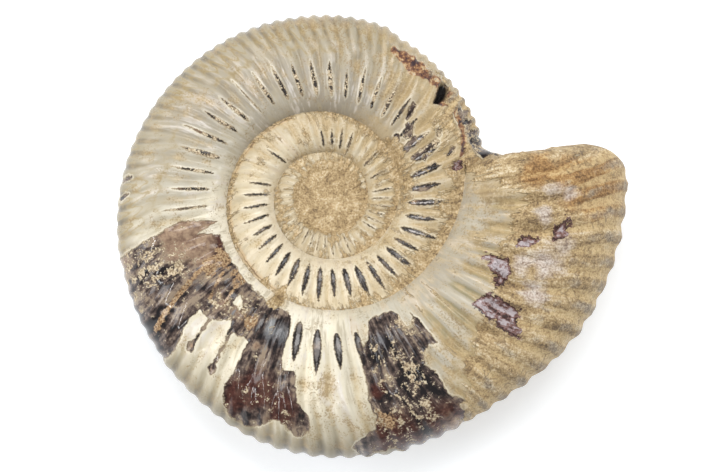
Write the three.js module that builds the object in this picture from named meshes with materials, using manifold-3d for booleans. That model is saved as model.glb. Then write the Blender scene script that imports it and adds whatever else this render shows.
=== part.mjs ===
// A polished perisphinctid ammonite: one coiled, ribbed stone shell lying on its side.
//
// The surface is sewn from patches of one formula. An angle runs along the coil and an
// "across" value runs over the whorl: 0 on the upper umbilical seam, 1 where the next
// whorl would lie on it, 2 at the same place underneath, 3 on the lower seam.

import * as THREE from "three";
import { ParametricGeometry } from "three/addons/geometries/ParametricGeometry.js";
import { mergeGeometries, mergeVertices } from "three/addons/utils/BufferGeometryUtils.js";
import Module from "manifold-3d";

const TURN = 2 * Math.PI;
const RAD = Math.PI / 180;

// Coil, in millimetres and degrees. The angle grows towards the aperture.
const SEAM_RADIUS = 11.66; // umbilical seam, at angle 0
const SEAM_GROWTH = 0.0963; // per radian: about 1.83 times wider each turn
const VENTER_RADIUS = 25.67; // outer edge, at angle 0
const VENTER_GROWTH = 0.0958;
const BODY_ANGLE = 373; // the last, outermost turn starts here
const END_ANGLE = 733; // the aperture
const OFF_CENTRE = [-0.0343, 0.0064]; // the seam's shift along X and Y, as a share
const EDGE_OFF_CENTRE = [0.0082, -0.0099]; // the outer edge's shift

// Whorl section, as shares of the whorl's height from seam to venter.
const HALF_THICKNESS = 0.45; // at the widest place
const WIDEST_AT = 0.4; // how far out the widest place is
const INNER_REACH = 0.43; // from there to the shell's hidden inner face
const INNER_SQUARENESS = 2.6;
const OUTER_SQUARENESS = 2.3;

// Stretches where the outer edge stands high or low: angle, share, half width.
const SWELLS = [
  [435, 0.018, 20],
  [617, 0.022, 18],
  [670, -0.035, 15],
];
const SEAM_SWELL = [733, 0.045, 28];

// Ribs. Each stretch gives the angle where it ends and the spacing up to there.
const PRIMARY_STRETCHES = [
  [185, 8.8],
  [373, 9.6],
  [411.5, 8.6],
  [543.5, 7.765],
  [800, 8.15],
];
const PRIMARY_ANCHOR = 411.5; // one rib's crest lies at this angle
const SECONDARY_STRETCHES = [
  [373, 4.7],
  [543.5, 3.88],
  [665, 4.08],
  [800, 5.2],
];
const SECONDARY_ANCHOR = 411.5;
const RIB_HEIGHT_SHARE = 0.155; // of the spacing between crests
const FORK_ACROSS = [0.8, 1.08]; // primaries split into secondaries between these
const SHOULDER_ACROSS = [0.12, 0.34]; // ribs rise between these
const LEAN = 4; // degrees that a rib swings forward from there to the outer edge
const UPRIGHT_END = 14; // degrees over which the lean fades at both ends

// The broken end: its outer corner is rounded, and stone fills the corner behind it.
const CORNER_ANGLE = 8;
const CORNER_DEPTH = 0.19;
const FILLET_ANGLE = 2.6;
const FILLET_HEIGHT = 0.097;

// How it lies: tipped so that two long stretches of the lower side touch the table, and
// ground flat where they do.
const TIP_ANGLE = 4.3;
const TIP_TOWARDS = 153;
const FLAT_DEPTH = 0.7;

// How finely it is cut into faces, across a whorl. The body whorl's upper side has twice
// as many steps as the inner whorls'.
const UPPER_STEPS = 3;
const LOWER_STEPS = 3;
const VENTER_STEPS = 5;

const smoothstep = (low, high, x) => {
  const t = Math.min(1, Math.max(0, (x - low) / (high - low)));
  return t * t * (3 - 2 * t);
};
const bump = (x, [at, height, width]) => height * Math.exp(-(((x - at) / width) ** 2));

function seamRadius(angle) {
  const a = angle * RAD;
  const shift = OFF_CENTRE[0] * Math.cos(a) + OFF_CENTRE[1] * Math.sin(a);
  return SEAM_RADIUS * Math.exp(SEAM_GROWTH * a) * (1 + shift + bump(angle, SEAM_SWELL));
}

function venterRadius(angle) {
  const a = angle * RAD;
  const shift = EDGE_OFF_CENTRE[0] * Math.cos(a) + EDGE_OFF_CENTRE[1] * Math.sin(a);
  const swell = SWELLS.reduce((sum, s) => sum + bump(angle, s), 0);
  return VENTER_RADIUS * Math.exp(VENTER_GROWTH * a) * (1 + shift + swell);
}

// Half thickness over the widest, at a share of the whorl's height from the seam.
function sectionShape(out) {
  if (out < WIDEST_AT) {
    const t = (WIDEST_AT - out) / INNER_REACH;
    return (1 - t ** INNER_SQUARENESS) ** (1 / INNER_SQUARENESS);
  }
  const t = Math.min(1, (out - WIDEST_AT) / (1 - WIDEST_AT));
  return (1 - t ** OUTER_SQUARENESS) ** (1 / OUTER_SQUARENESS);
}

const whorlHeight = (angle) => venterRadius(angle) - seamRadius(angle);
const nextSeamShare = (angle) =>
  (seamRadius(angle + 360) - seamRadius(angle)) / whorlHeight(angle);

// How far the end's rounding takes the section in: 1 where it doesn't.
function endRounding(angle, depth) {
  const t = Math.min(1, Math.max(0, (angle - END_ANGLE + CORNER_ANGLE) / CORNER_ANGLE));
  return 1 - depth * (1 - Math.sqrt(1 - t * t));
}

// The smooth whorl without its ribs: distance from the coil's axis, and height.
function sectionPoint(angle, across) {
  const side = across > 1.5 ? -1 : 1;
  const folded = across > 1.5 ? 3 - across : across;
  const seam = seamRadius(angle);
  const height = whorlHeight(angle);
  const shared = nextSeamShare(angle);
  const thick = HALF_THICKNESS * height;
  let out;
  let shape;
  if (folded <= 1) {
    out = shared * folded ** 1.5;
    shape = sectionShape(out);
  } else {
    // Even steps of angle round the venter.
    const from = Math.acos(((shared - WIDEST_AT) / (1 - WIDEST_AT)) ** (OUTER_SQUARENESS / 2));
    const turned = from * (1 - (folded - 1) / 0.5);
    const reach = Math.max(0, Math.cos(turned)) ** (2 / OUTER_SQUARENESS);
    out = WIDEST_AT + (1 - WIDEST_AT) * reach;
    shape = Math.max(0, Math.sin(turned)) ** (2 / OUTER_SQUARENESS);
  }
  // The inner edge meets the last whorl's side, whatever that side's height there is.
  const below = HALF_THICKNESS * whorlHeight(angle - 360) * sectionShape(nextSeamShare(angle - 360));
  const lift = (below - thick * sectionShape(0)) * Math.max(0, 1 - out / 0.25) ** 2;
  const fillet = FILLET_HEIGHT * Math.exp(-(((angle - BODY_ANGLE) / FILLET_ANGLE) ** 2));
  const grown = angle >= BODY_ANGLE - 1 ? 1 + fillet * smoothstep(shared, 0.98, out) : 1;
  const outer = (seam + out * height) * grown;
  const rounded = seam + (outer - seam) * endRounding(angle, CORNER_DEPTH * 1.8);
  return [
    rounded,
    side * (thick * shape + lift) * endRounding(angle, CORNER_DEPTH),
  ];
}

// Counts ribs along the coil, from one whose crest is at the anchor.
function ribCount(angle, stretches, anchor) {
  const total = (upTo) => {
    let from = -1440;
    let count = 0;
    for (const [end, spacing] of stretches) {
      count += (Math.min(end, upTo) - from) / spacing;
      if (upTo <= end) break;
      from = end;
    }
    return count;
  };
  return total(angle) - total(anchor);
}

function spacingAt(angle, stretches) {
  return stretches.find(([end]) => angle <= end)[1];
}

// Height of the ribs above the smooth whorl.
function ownRibs(angle, across) {
  const folded = across > 1.5 ? 3 - across : across;
  const radius = (sectionPoint(angle, Math.min(1.5, folded))[0] * Math.PI) / 180;
  const wave = (stretches, anchor) => {
    const crest = 0.5 + 0.5 * Math.cos(TURN * ribCount(angle, stretches, anchor));
    return crest * RIB_HEIGHT_SHARE * radius * spacingAt(angle, stretches);
  };
  const forked = smoothstep(...FORK_ACROSS, folded);
  const height =
    wave(PRIMARY_STRETCHES, PRIMARY_ANCHOR) * (1 - forked) +
    wave(SECONDARY_STRETCHES, SECONDARY_ANCHOR) * forked * 1.15;
  const nearEnd = smoothstep(END_ANGLE, END_ANGLE - CORNER_ANGLE, angle);
  return height * smoothstep(...SHOULDER_ACROSS, folded) * nearEnd;
}

// A rib that runs under the next whorl is met by that whorl's seam.
function ribs(angle, across) {
  const folded = across > 1.5 ? 3 - across : across;
  const own = smoothstep(0, 0.15, folded);
  return ownRibs(angle - 360, 1) * (1 - own) + ownRibs(angle, across) * own;
}

function outwards(angle, across) {
  const step = 0.01;
  const a = sectionPoint(angle, across - step);
  const b = sectionPoint(angle, across + step);
  const length = Math.hypot(b[0] - a[0], b[1] - a[1]);
  return [(a[1] - b[1]) / length, (b[0] - a[0]) / length];
}

// How far round the coil a rib's crest has swung forward, in degrees.
function leanAt(angle, across) {
  const fade = smoothstep(BODY_ANGLE, BODY_ANGLE + UPRIGHT_END, angle);
  const folded = across > 1.5 ? 3 - across : across;
  return LEAN * smoothstep(1, 1.5, folded) * fade * smoothstep(END_ANGLE, END_ANGLE - UPRIGHT_END, angle);
}

// A seam's point is taken from the whorl below, where that whorl's side ends.
function shellPoint(angle, across, target) {
  const onSeam = across <= 0 || across >= 3;
  const from = onSeam ? [angle - 360, across <= 0 ? 1 : 2] : [angle, across];
  const height = ribs(...from);
  const leaned = from[0] + leanAt(...from);
  const [radius, z] = sectionPoint(leaned, from[1]);
  const [outR, outZ] = outwards(leaned, from[1]);
  const r = radius + outR * height;
  return target.set(r * Math.cos(leaned * RAD), r * Math.sin(leaned * RAD), z + outZ * height);
}

// Angles of the body whorl's sections: one on each crest and in each trough of its
// finest ribs.
function bodyColumns() {
  const found = [BODY_ANGLE];
  for (let angle = BODY_ANGLE; angle < END_ANGLE; angle += 0.01) {
    const count = (at) => Math.floor(2 * ribCount(at, SECONDARY_STRETCHES, SECONDARY_ANCHOR));
    const clear = angle - found.at(-1) > 0.7 && END_ANGLE - angle > 0.7;
    if (clear && count(angle) !== count(angle - 0.01)) found.push(angle);
  }
  return [...found, END_ANGLE];
}

const columns = bodyColumns();
const turnsBack = (turns) => columns.map((angle) => angle - 360 * turns);
const firstTurn = turnsBack(2);
const secondTurn = turnsBack(1);

// A grid of the surface over some sections, between two across values, facing out.
function patch(angles, fromAcross, toAcross, acrossSteps) {
  const last = angles.length - 1;
  const place = (u, v, target) =>
    shellPoint(
      angles[Math.round(v * last)],
      THREE.MathUtils.lerp(fromAcross, toAcross, u),
      target,
    );
  return new ParametricGeometry(place, acrossSteps, last);
}

// The points of one section, from one across value to another.
function sectionLine(angle, fromAcross, toAcross, steps) {
  return Array.from({ length: steps + 1 }, (_, i) =>
    shellPoint(angle, THREE.MathUtils.lerp(fromAcross, toAcross, i / steps), new THREE.Vector3()),
  );
}

// The last step before the body whorl, where the faces across it grow twice as many.
function widening() {
  const near = sectionLine(secondTurn.at(-2), 0, 1, UPPER_STEPS);
  const far = sectionLine(BODY_ANGLE, 0, 1, 2 * UPPER_STEPS);
  const corners = near.slice(1).flatMap((p, i) => {
    const [first, middle, last] = far.slice(2 * i, 2 * i + 3);
    return [near[i], p, middle, near[i], middle, first, p, last, middle];
  });
  return new THREE.BufferGeometry().setFromPoints(corners);
}

// Closes the coil's centre on one side with a low cone over the first turn's seam.
function core(side) {
  const seam = side > 0 ? 0 : 3;
  const steps = side > 0 ? UPPER_STEPS : LOWER_STEPS;
  const loop = firstTurn.map((angle) => shellPoint(angle, seam, new THREE.Vector3()));
  const line = sectionLine(firstTurn[0], side > 0 ? 1 : 2, seam, steps);
  const rim = [...loop, ...line.slice(1, -1)];
  const middle = rim.reduce((sum, p) => sum.add(p), new THREE.Vector3()).divideScalar(rim.length);
  middle.z = side * Math.max(...loop.map((p) => Math.abs(p.z)));
  const corners = rim.flatMap((p, i) => {
    const next = rim[(i + 1) % rim.length];
    return side > 0 ? [middle, p, next] : [middle, next, p];
  });
  return new THREE.BufferGeometry().setFromPoints(corners);
}

// The flat broken face across the last whorl, down to the turn that it lies on.
function endFace() {
  const outer = sectionLine(END_ANGLE, 0, 1, 2 * UPPER_STEPS)
    .concat(sectionLine(END_ANGLE, 1, 2, VENTER_STEPS).slice(1))
    .concat(sectionLine(END_ANGLE, 2, 3, LOWER_STEPS).slice(1));
  const inner = sectionLine(BODY_ANGLE, 2, 1, VENTER_STEPS).slice(1, -1);
  // Drawn facing back along the coil, then turned half round to face out of it.
  const flat = [...outer, ...inner].map((p) => new THREE.Vector2(-Math.hypot(p.x, p.y), p.z));
  const face = new THREE.ShapeGeometry(new THREE.Shape(flat)).rotateX(Math.PI / 2);
  return face.rotateZ(END_ANGLE * RAD + Math.PI);
}

// Joins patches whose edges meet into one closed geometry of positions alone.
function sew(pieces) {
  const bare = pieces.map((piece) => {
    const g = piece.index ? piece.toNonIndexed() : piece;
    g.deleteAttribute("normal");
    g.deleteAttribute("uv");
    return g;
  });
  const joined = mergeVertices(mergeGeometries(bare), 1e-3);
  const index = joined.index.array;
  const kept = [];
  for (let i = 0; i < index.length; i += 3) {
    const [a, b, c] = [index[i], index[i + 1], index[i + 2]];
    if (a !== b && b !== c && c !== a) kept.push(a, b, c);
  }
  return joined.setIndex(kept);
}

function coil() {
  const inner = [...firstTurn, ...secondTurn.slice(1)];
  return sew([
    patch(inner.slice(0, -1), 0, 1, UPPER_STEPS),
    widening(),
    patch(columns, 0, 1, 2 * UPPER_STEPS),
    patch(columns, 1, 2, VENTER_STEPS),
    patch([...inner, ...columns.slice(1)], 2, 3, LOWER_STEPS),
    core(1),
    core(-1),
    endFace(),
  ]);
}

const shell = coil();
const wasm = await Module();
wasm.setup();

function solidOf(geometry) {
  return new wasm.Manifold(
    new wasm.Mesh({
      numProp: 3,
      vertProperties: geometry.attributes.position.array,
      triVerts: new Uint32Array(geometry.index.array),
    }),
  );
}

function geometryOf(solid) {
  const mesh = solid.getMesh();
  return new THREE.BufferGeometry()
    .setAttribute("position", new THREE.BufferAttribute(mesh.vertProperties, 3))
    .setIndex(new THREE.BufferAttribute(mesh.triVerts, 1));
}

// Tips the coil, stands it on the table and grinds the lowest places flat.
function laidDown(geometry) {
  const axis = new THREE.Vector3(-Math.sin(TIP_TOWARDS * RAD), Math.cos(TIP_TOWARDS * RAD), 0);
  geometry.applyMatrix4(new THREE.Matrix4().makeRotationAxis(axis, TIP_ANGLE * RAD));
  geometry.computeBoundingBox();
  geometry.translate(0, 0, -geometry.boundingBox.min.z - FLAT_DEPTH);
  const table = new THREE.BoxGeometry(300, 300, 20).translate(0, 0, -10);
  table.deleteAttribute("normal");
  table.deleteAttribute("uv");
  return geometryOf(solidOf(geometry).subtract(solidOf(mergeVertices(table))));
}

const ammonite = new THREE.Mesh(
  laidDown(shell),
  new THREE.MeshStandardMaterial({ color: 0xd3c7ab, roughness: 0.32, metalness: 0 }),
);
ammonite.name = "ammonite";
ammonite.geometry.computeBoundingBox();
const box = ammonite.geometry.boundingBox;
ammonite.position.set(-(box.min.x + box.max.x) / 2, -(box.min.y + box.max.y) / 2, 0);

const part = new THREE.Group();
part.add(ammonite);

export default part;
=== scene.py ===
# %% [markdown]
# # A polished perisphinctid ammonite
#
# A real ammonite is a tube of shell that widens as it coils in one plane. This one is 160
# million years old: its chambers are filled with dark calcite, it lay in sandy stone, and it was
# ground and polished until the tops of its ribs wore through. It is built as one piece here,
# because it formed as one piece.
#
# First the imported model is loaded. It is the frame that everything has to fit.

# %% Load the frame
import math

import bpy
import numpy as np
from mathutils import Matrix, Vector, noise


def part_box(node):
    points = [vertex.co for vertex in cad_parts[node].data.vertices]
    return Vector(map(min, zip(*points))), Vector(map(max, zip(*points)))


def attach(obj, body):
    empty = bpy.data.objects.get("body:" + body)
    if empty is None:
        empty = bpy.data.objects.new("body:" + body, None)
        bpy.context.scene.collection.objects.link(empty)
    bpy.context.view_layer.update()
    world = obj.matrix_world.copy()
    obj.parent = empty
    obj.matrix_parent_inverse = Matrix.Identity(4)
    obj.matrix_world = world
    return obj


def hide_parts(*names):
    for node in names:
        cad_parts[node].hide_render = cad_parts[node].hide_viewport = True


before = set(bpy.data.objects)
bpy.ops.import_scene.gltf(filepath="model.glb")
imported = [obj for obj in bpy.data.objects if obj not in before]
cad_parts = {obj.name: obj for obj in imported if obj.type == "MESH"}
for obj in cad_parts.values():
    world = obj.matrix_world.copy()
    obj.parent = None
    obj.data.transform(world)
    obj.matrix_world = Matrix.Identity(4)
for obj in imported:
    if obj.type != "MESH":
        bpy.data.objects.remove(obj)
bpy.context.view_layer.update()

MM = 0.001
LOW, HIGH = (np.array(corner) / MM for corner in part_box("ammonite"))
print("the packed ammonite, in mm:", np.round(HIGH - LOW, 1))

# %% [markdown]
# ## The coil
#
# The shell grows by about 1.83 times in each turn, so every radius is an exponential of the
# angle round the coil. Two such curves describe it: the seam, where a whorl lies against the one
# before it, and the venter, its outer edge. The shell isn't perfect, so both wander a little.

# %% Radii of the seam and the outer edge, in mm
BODY_ANGLE, END_ANGLE = 373, 733  # the last whorl starts and ends here
VENTER_GROWTH = 0.0958  # of the outer edge's radius, in each radian


def bump(x, at, height, width):
    return height * np.exp(-(((x - at) / width) ** 2))


def seam_radius(angle):
    a = np.radians(angle)
    shift = -0.0343 * np.cos(a) + 0.0064 * np.sin(a) + bump(angle, 733, 0.045, 28)
    return 11.66 * np.exp(0.0963 * a) * (1 + shift)


def venter_radius(angle):
    a = np.radians(angle)
    swells = bump(angle, 435, 0.018, 20) + bump(angle, 617, 0.022, 18) + bump(angle, 670, -0.035, 15)
    shift = 0.0082 * np.cos(a) - 0.0099 * np.sin(a) + swells
    return 25.67 * np.exp(VENTER_GROWTH * a) * (1 + shift)


for turn in (13, 373, 733):
    low_mm, high_mm = seam_radius(turn), venter_radius(turn)
    print(f"at {turn} degrees the whorl reaches from {low_mm:.1f} to {high_mm:.1f} mm")

# %% [markdown]
# ## The whorl's section
#
# Cut across, a whorl is a rounded tube that is widest at two fifths of its height. I describe it
# by an "across" value that runs from 0 at the upper seam, over 1 where the next whorl lies on
# it, round the outer edge at 1.5 to 2 and back to the lower seam at 3. So each point of the
# shell has two numbers, its angle and its across value, and every ridge and stain can be placed
# by them.

# %% Section of a whorl
HALF_THICKNESS, WIDEST_AT, INNER_REACH = 0.45, 0.4, 0.43
INNER_SQUARENESS, OUTER_SQUARENESS = 2.6, 2.3
CORNER_ANGLE, CORNER_DEPTH = 8, 0.19


def smoothstep(low, high, x):
    t = np.clip((x - low) / (high - low), 0, 1)
    return t * t * (3 - 2 * t)


def fold(across):
    return np.where(across > 1.5, 3 - across, across)


def section_shape(out):
    inner = np.clip((WIDEST_AT - out) / INNER_REACH, 0, 1)
    outer = np.clip((out - WIDEST_AT) / (1 - WIDEST_AT), 0, 1)
    flank = (1 - inner**INNER_SQUARENESS) ** (1 / INNER_SQUARENESS)
    edge = (1 - outer**OUTER_SQUARENESS) ** (1 / OUTER_SQUARENESS)
    return np.where(out < WIDEST_AT, flank, edge)


def whorl_height(angle):
    return venter_radius(angle) - seam_radius(angle)


def shared_share(angle):
    return (seam_radius(angle + 360) - seam_radius(angle)) / whorl_height(angle)


def reach_out(angle, across):
    """Share of the whorl's height, from the seam, and half thickness over the widest."""
    folded, shared = fold(across), shared_share(angle)
    on_flank = shared * np.clip(folded, 0, 1) ** 1.5
    start = np.arccos(((shared - WIDEST_AT) / (1 - WIDEST_AT)) ** (OUTER_SQUARENESS / 2))
    turned = start * (1 - np.clip(folded - 1, 0, 0.5) / 0.5)
    on_edge = WIDEST_AT + (1 - WIDEST_AT) * np.cos(turned) ** (2 / OUTER_SQUARENESS)
    out = np.where(folded <= 1, on_flank, on_edge)
    thick = np.where(folded <= 1, section_shape(on_flank), np.sin(turned) ** (2 / OUTER_SQUARENESS))
    return out, thick


def section(angle, across):
    """Radius and height of the smooth whorl, in mm."""
    side = np.where(across > 1.5, -1.0, 1.0)
    seam, height = seam_radius(angle), whorl_height(angle)
    out, shape = reach_out(angle, across)
    thick = HALF_THICKNESS * height
    below = HALF_THICKNESS * whorl_height(angle - 360) * section_shape(shared_share(angle - 360))
    lift = (below - thick * section_shape(np.zeros_like(out))) * np.clip(1 - out / 0.25, 0, 1) ** 2
    start_fillet = bump(angle, BODY_ANGLE, 0.097, 2.6) * (angle >= BODY_ANGLE - 0.01)
    outer = (seam + out * height) * (1 + start_fillet * smoothstep(shared_share(angle), 0.98, out))
    t = np.clip((angle - END_ANGLE + CORNER_ANGLE) / CORNER_ANGLE, 0, 1)
    corner = 1 - np.sqrt(1 - t * t)
    radius = seam + (outer - seam) * (1 - 1.8 * CORNER_DEPTH * corner)
    return radius, side * (thick * shape + lift) * (1 - CORNER_DEPTH * corner)


def facing(angle, across):
    """Which way the smooth section faces, as shares of outwards and up."""
    r0, z0 = section(angle, across - 0.01)
    r1, z1 = section(angle, across + 0.01)
    length = np.hypot(r1 - r0, z1 - z0)
    return (z0 - z1) / length, (r1 - r0) / length


print("at the end the last whorl is", round(2 * float(section(720.0, np.array(0.6))[1]), 1), "mm thick")

# %% [markdown]
# ## From above
#
# The ribs, the windows and the stains are placed by how they lie when the fossil is looked at from
# above. It lies tipped by a few degrees, so a point high on the flank shows a few millimetres
# beside its place on the coil. So I work out once where each point shows, as an angle and a
# distance from the coil's middle, counted on past the outer edge.

# %% Where a point shows from above
TIP_ANGLE, TIP_TOWARDS = math.radians(4.3), math.radians(153)
TIP_AXIS = Vector((-math.sin(TIP_TOWARDS), math.cos(TIP_TOWARDS), 0))
TIP = np.array(Matrix.Rotation(TIP_ANGLE, 3, TIP_AXIS))
LAID_AT = np.array([-11.9, 10.4, 18.1])  # the coil's middle, once the fossil lies on the table
AIM, ELEVATION, DISTANCE = np.array([-5, -0.6, 20]), math.radians(86), 579
UPWARDS = np.array([0, math.sin(ELEVATION), math.cos(ELEVATION)])
INWARDS = np.array([0, math.cos(ELEVATION), -math.sin(ELEVATION)])
EYE = AIM - DISTANCE * INWARDS
MIDDLE_AT, FRAME_MM = (-6.8, 10.6), 578.4  # the coil's middle in the picture, in mm at this distance
MIDDLE_TOP = np.array([0, 0, 3.2])  # the filled middle's surface, over the coil's own centre
FILL_RADIUS, FILL_LEVEL = 11.3, 3.15  # how far the filling reaches, and how high


def coil_point(angle, radius, z):
    turned = np.radians(angle)
    return np.stack([radius * np.cos(turned), radius * np.sin(turned), z], axis=-1)


def picture_place(spots):
    away = (spots @ TIP.T + LAID_AT) - EYE
    return FRAME_MM * away[..., 0] / (away @ INWARDS), FRAME_MM * (away @ UPWARDS) / (away @ INWARDS)


def seen_place(angle, across):
    radius, z = section(angle, across)
    x, y = picture_place(coil_point(angle, radius, z))
    axis_x, axis_y = picture_place(MIDDLE_TOP)
    far = smoothstep(5, 30, radius)
    x = x - axis_x - far * (MIDDLE_AT[0] - axis_x)
    y = y - axis_y - far * (MIDDLE_AT[1] - axis_y)
    seen = np.degrees(np.arctan2(y, x))
    return angle + (seen - angle + 180) % 360 - 180, np.hypot(x, y)


def from_above(angle, across):
    """Angle and distance from the coil's middle at which a point shows."""
    seen, distance = seen_place(angle, fold(across))
    edge = seen_place(angle, np.full(angle.shape, 1.5))[1]
    return seen, np.where(across <= 1.5, distance, 2 * edge - distance)


print("the coil's middle shows at", np.round(picture_place(MIDDLE_TOP), 1), "mm")

# %% [markdown]
# ## Ribs
#
# Straight primary ribs cross the inner part of each flank. Near the outer edge each one forks
# into two finer ribs, which swing forward and run over the edge to the other side. Rib counts
# measured along the coil are all that is needed: a rib's crest is where the count is whole.

# %% Counting and shaping the ribs
PRIMARIES = [(185, 8.8), (373, 9.6), (411.5, 8.6), (543.5, 7.765), (1200, 8.15)]
SECONDARIES = [(373, 4.7), (543.5, 3.88), (665, 4.08), (1200, 5.2)]
RIB_ANCHOR = 411.5  # one rib's crest lies at this angle
RIB_WIDTH = 0.136  # from one crest to the next, as a share of the radius
RIB_DEGREES, FORK_DEGREES = 7.8, 4.1  # the same of straight and forked ribs, as an angle
RIB_HEIGHTS = [640, 670], [0.2, 0.26]  # angles, and heights there as a share of the spacing
FORK_HEIGHTS = (
    [373, 470, 500, 590, 620, 660, 733], [0.185, 0.185, 0.085, 0.09, 0.15, 0.14, 0.12],
)


def rib_count(angle, stretches):
    edges = np.array([-1440.0] + [end for end, _ in stretches])
    spacings = [spacing for _, spacing in stretches]
    counts = np.concatenate([[0], np.cumsum(np.diff(edges) / spacings)])
    return np.interp(angle, edges, counts) - np.interp(RIB_ANCHOR, edges, counts)


def rib_counts(angle, across):
    """Primary and secondary count, where ribs lean forward as they run outwards."""
    out, _ = reach_out(angle, across)
    seen, _ = from_above(angle, across)
    lean = 0.9 * smoothstep(0.1, 0.45, out) + 4.1 * smoothstep(0.45, 1.0, out)
    return rib_count(seen - lean + 0.7, PRIMARIES), rib_count(seen - lean, SECONDARIES)


def crest(count, flatness):
    """1 on a rib's crest and 0 in the groove, with a crest that polishing made broad."""
    wave = 0.5 + 0.5 * np.cos(2 * np.pi * count)
    return 1 - (1 - wave) ** flatness


def own_ribs(angle, across):
    """Height of the ribs, in mm."""
    out, _ = reach_out(angle, across)
    radius, _ = section(angle, across)
    primary, secondary = rib_counts(angle, across)
    forked = smoothstep(0.5, 0.8, out)
    tall, fork_tall = np.interp(angle, *RIB_HEIGHTS), np.interp(angle, *FORK_HEIGHTS)
    low = tall * RIB_DEGREES * (crest(primary, 1.5) - 0.35) * (1 - forked)
    fine = fork_tall * FORK_DEGREES * crest(secondary, 1.25) * forked
    faded = smoothstep(END_ANGLE - 2, END_ANGLE - 12, angle)
    return (low + fine) * np.radians(radius) * smoothstep(0.05, 0.22, out) * faded


first_rib, last_rib = rib_count(np.array([BODY_ANGLE, END_ANGLE]), PRIMARIES)
print("ribs in the last whorl:", round(float(last_rib - first_rib)))

# %% [markdown]
# ## Where the shell is gone
#
# In three large windows, and in some smaller ones, the shell has broken away and the dark
# calcite under it shows. Each window is an outline in angle and millimetres from the coil's
# axis, followed round point by point. What the script needs from an outline is the distance to it,
# above zero inside: a mesh corner can carry that, and the material can draw a sharp, ragged edge.

# %% Outlines of the windows
LEFT_WINDOW = [
    (190.8, 34.3), (192.6, 37.5), (194.2, 40.6), (195.8, 36.5), (197.6, 34.2), (214, 34.1),
    (232, 34.7), (241, 36.0), (241, 48.6), (237.5, 47.4), (235.4, 48.4), (232.5, 48.2),
    (230.2, 45.6), (227.5, 47.8), (224.2, 50.0), (220, 50.4), (219.6, 53.8), (221.2, 57.7),
    (223.8, 63.4), (223.8, 67.6), (221, 72.5), (199, 70.0), (195.4, 63.7), (193.3, 58.4),
    (191.7, 52.5), (189.6, 47.8), (187.9, 44.6), (189.2, 40.1), (189.6, 36.6),
]
LOWER_WINDOW = [
    (240, 36.1), (245, 35.2), (248.3, 35.0), (251.4, 36.4), (252.5, 40.1), (252.6, 48.5),
    (254, 52.5), (258, 51.4), (259.8, 57.7), (260.6, 60.8), (264.2, 63.8), (264.8, 68.0),
    (262.9, 70.0), (260, 69.2), (257.9, 66.9), (255.8, 66.3), (253.7, 68.0), (251.2, 70.5),
    (247.9, 70.6), (244.2, 69.4), (241.7, 66.7), (240.4, 62.8), (240.7, 57.0), (240, 50.7),
]
RIGHT_WINDOW = [
    (281.2, 41.6), (282.4, 44.6), (283.8, 43.4), (285.3, 41.8), (286.2, 39.4), (287, 37.6),
    (290, 37.0), (294.6, 36.8), (298.3, 37.3), (300.2, 38.6), (300.2, 42.8), (302.3, 44.4),
    (305, 42.3), (306.5, 43.2), (306.3, 47.8), (306.8, 52.3), (304.2, 51.4), (301.2, 52.5),
    (299.8, 55.9), (301.5, 59.7), (301.2, 66.7), (304.2, 71.2), (304.8, 78.5), (292, 79.0),
    (283.3, 74.6), (276.7, 75.8), (275.3, 72.8), (277.5, 70.4), (280.8, 68.8), (282.1, 65.9),
    (280.8, 60.5), (281.3, 53.8), (280.6, 47.8),
]
# The sandstone on the broken end, from this angle of the coil on.
STONE_FROM = 640
STONE_AT_END = [
    (300, 76.5), (304, 71), (309, 63), (313, 62), (318, 55.5), (323, 56), (330, 56), (336, 52),
    (341, 50.5), (346, 54), (352, 53), (358, 56.5), (362, 55), (366, 49), (368.5, 43), (372, 40),
    (376, 39), (380, 44), (380, 150), (340, 150), (318, 150), (300, 84),
]


def inside_outline(angle, radius, outline):
    """Distance in mm to the outline, above zero inside."""
    middle = np.mean([a for a, _ in outline])
    scale = np.radians(np.mean([r for _, r in outline]))
    x = ((angle - middle + 180) % 360 - 180) * scale
    nearest = np.full(x.shape, 1e9)
    inside = np.zeros(x.shape, bool)
    corners = [((a - middle) * scale, r) for a, r in outline]
    for (x0, y0), (x1, y1) in zip(corners, corners[1:] + corners[:1]):
        dx, dy = x1 - x0, y1 - y0
        t = np.clip(((x - x0) * dx + (radius - y0) * dy) / (dx**2 + dy**2), 0, 1)
        nearest = np.minimum(nearest, np.hypot(x - x0 - t * dx, radius - y0 - t * dy))
        crossing = (y0 > radius) != (y1 > radius)
        inside ^= crossing & (x < x0 + (radius - y0) * dx / (dy or 1))
    return np.where(inside, nearest, -nearest)


def inside_stroke(angle, radius, start, end, half_width):
    """Distance in mm into a straight stroke with round ends, above zero inside."""
    scale = np.radians((start[1] + end[1]) / 2)
    x = ((angle - start[0] + 180) % 360 - 180) * scale
    y = radius - start[1]
    dx, dy = (end[0] - start[0]) * scale, end[1] - start[1]
    t = np.clip((x * dx + y * dy) / (dx * dx + dy * dy), 0, 1)
    return half_width - np.hypot(x - t * dx, y - t * dy)


print("window outlines:", [len(o) for o in (LEFT_WINDOW, LOWER_WINDOW, RIGHT_WINDOW)])

# %% [markdown]
# ## The same windows on the underside
#
# The underside is hidden, so it gets windows of the same kinds at other places. A point past the
# outer edge counts its distance on from there, so a window can run round the edge.

# %% Distance into a window, anywhere on the shell
FAR_OUT = -20.0  # millimetres outside every window
EARLY_WINDOW = [
    (13, 47), (18, 45.4), (24, 44.2), (30, 43.4), (34.5, 44), (36, 46.4), (33, 48), (27, 47),
    (23, 50), (13, 51),
]
UPPER_WINDOWS = [LEFT_WINDOW, LOWER_WINDOW, RIGHT_WINDOW, EARLY_WINDOW]
SHELL_ISLAND = [
    (225.4, 38.6), (227.0, 38.4), (229.0, 39.6), (231.4, 41.2), (230.6, 42.6), (228.2, 41.6),
    (226.6, 42.0),
]
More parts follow.
